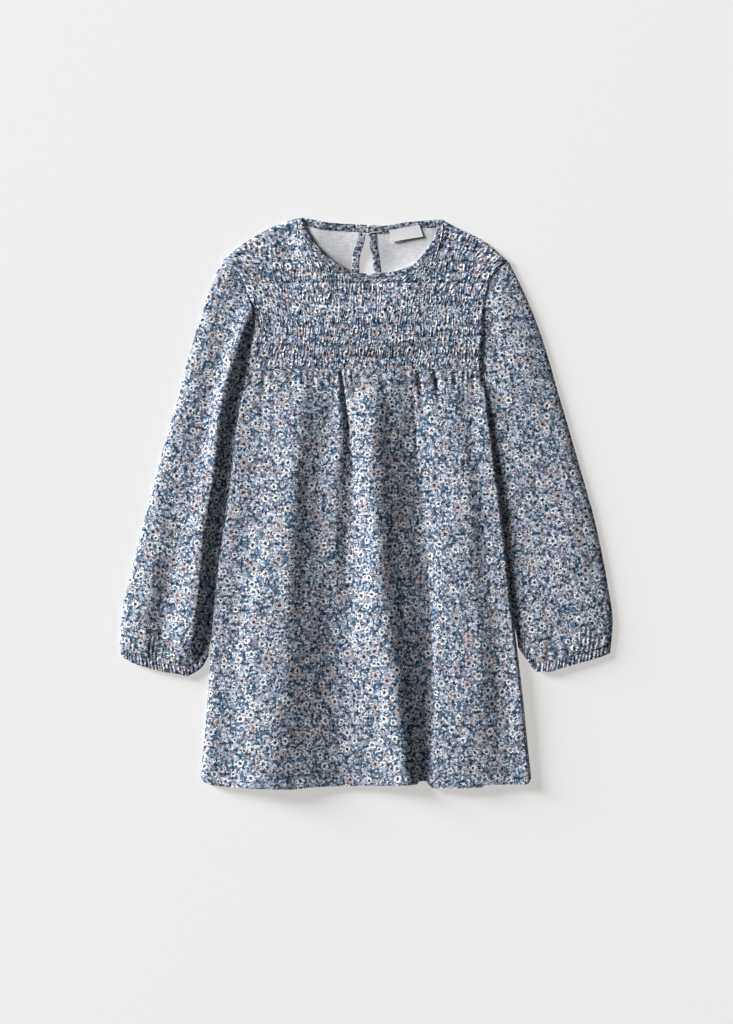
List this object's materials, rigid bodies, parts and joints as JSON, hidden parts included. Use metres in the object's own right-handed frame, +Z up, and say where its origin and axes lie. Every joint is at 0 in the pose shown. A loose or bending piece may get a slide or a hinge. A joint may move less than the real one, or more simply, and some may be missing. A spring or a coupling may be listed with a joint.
{
  "type": "dress",
  "caption": "Child's long-sleeved jersey dress with a shirred bodice, loose skirt and keyhole back neck, laid flat and face up.",
  "frame": {"origin": "centre of the bounding box in plan, on the surface that the dress lies on", "axes": "+Y from the hem to the neck, +Z up from the surface through the front, +X to the right as seen from above"},
  "size_m": [0.5226, 0.6056, 0.0086],
  "materials": {
    "back": "matt jersey, plain marl on the inside",
    "front_yoke": "matt printed cotton jersey",
    "front_skirt": "matt printed cotton jersey",
    "sleeve_left": "matt printed cotton jersey",
    "sleeve_right": "matt printed cotton jersey",
    "cuff_left": "matt printed cotton jersey",
    "cuff_right": "matt printed cotton jersey",
    "neck_binding_front": "matt printed cotton jersey",
    "neck_binding_back_left": "matt printed cotton jersey",
    "neck_binding_back_right": "matt printed cotton jersey",
    "keyhole_binding": "matt printed cotton jersey",
    "button_loop": "covered elastic cord",
    "button": "satin moulded plastic",
    "label": "smooth woven satin, left bare"
  },
  "bodies": {
    "root": {"back": "back", "front_yoke": "front_yoke", "front_skirt": "front_skirt", "sleeve_left": "sleeve_left", "sleeve_right": "sleeve_right", "cuff_left": "cuff_left", "cuff_right": "cuff_right", "neck_binding_front": "neck_binding_front", "neck_binding_back_left": "neck_binding_back_left", "neck_binding_back_right": "neck_binding_back_right", "keyhole_binding": "keyhole_binding", "button_loop": "button_loop", "button": "button", "label": "label"}
  },
  "joints": []
}
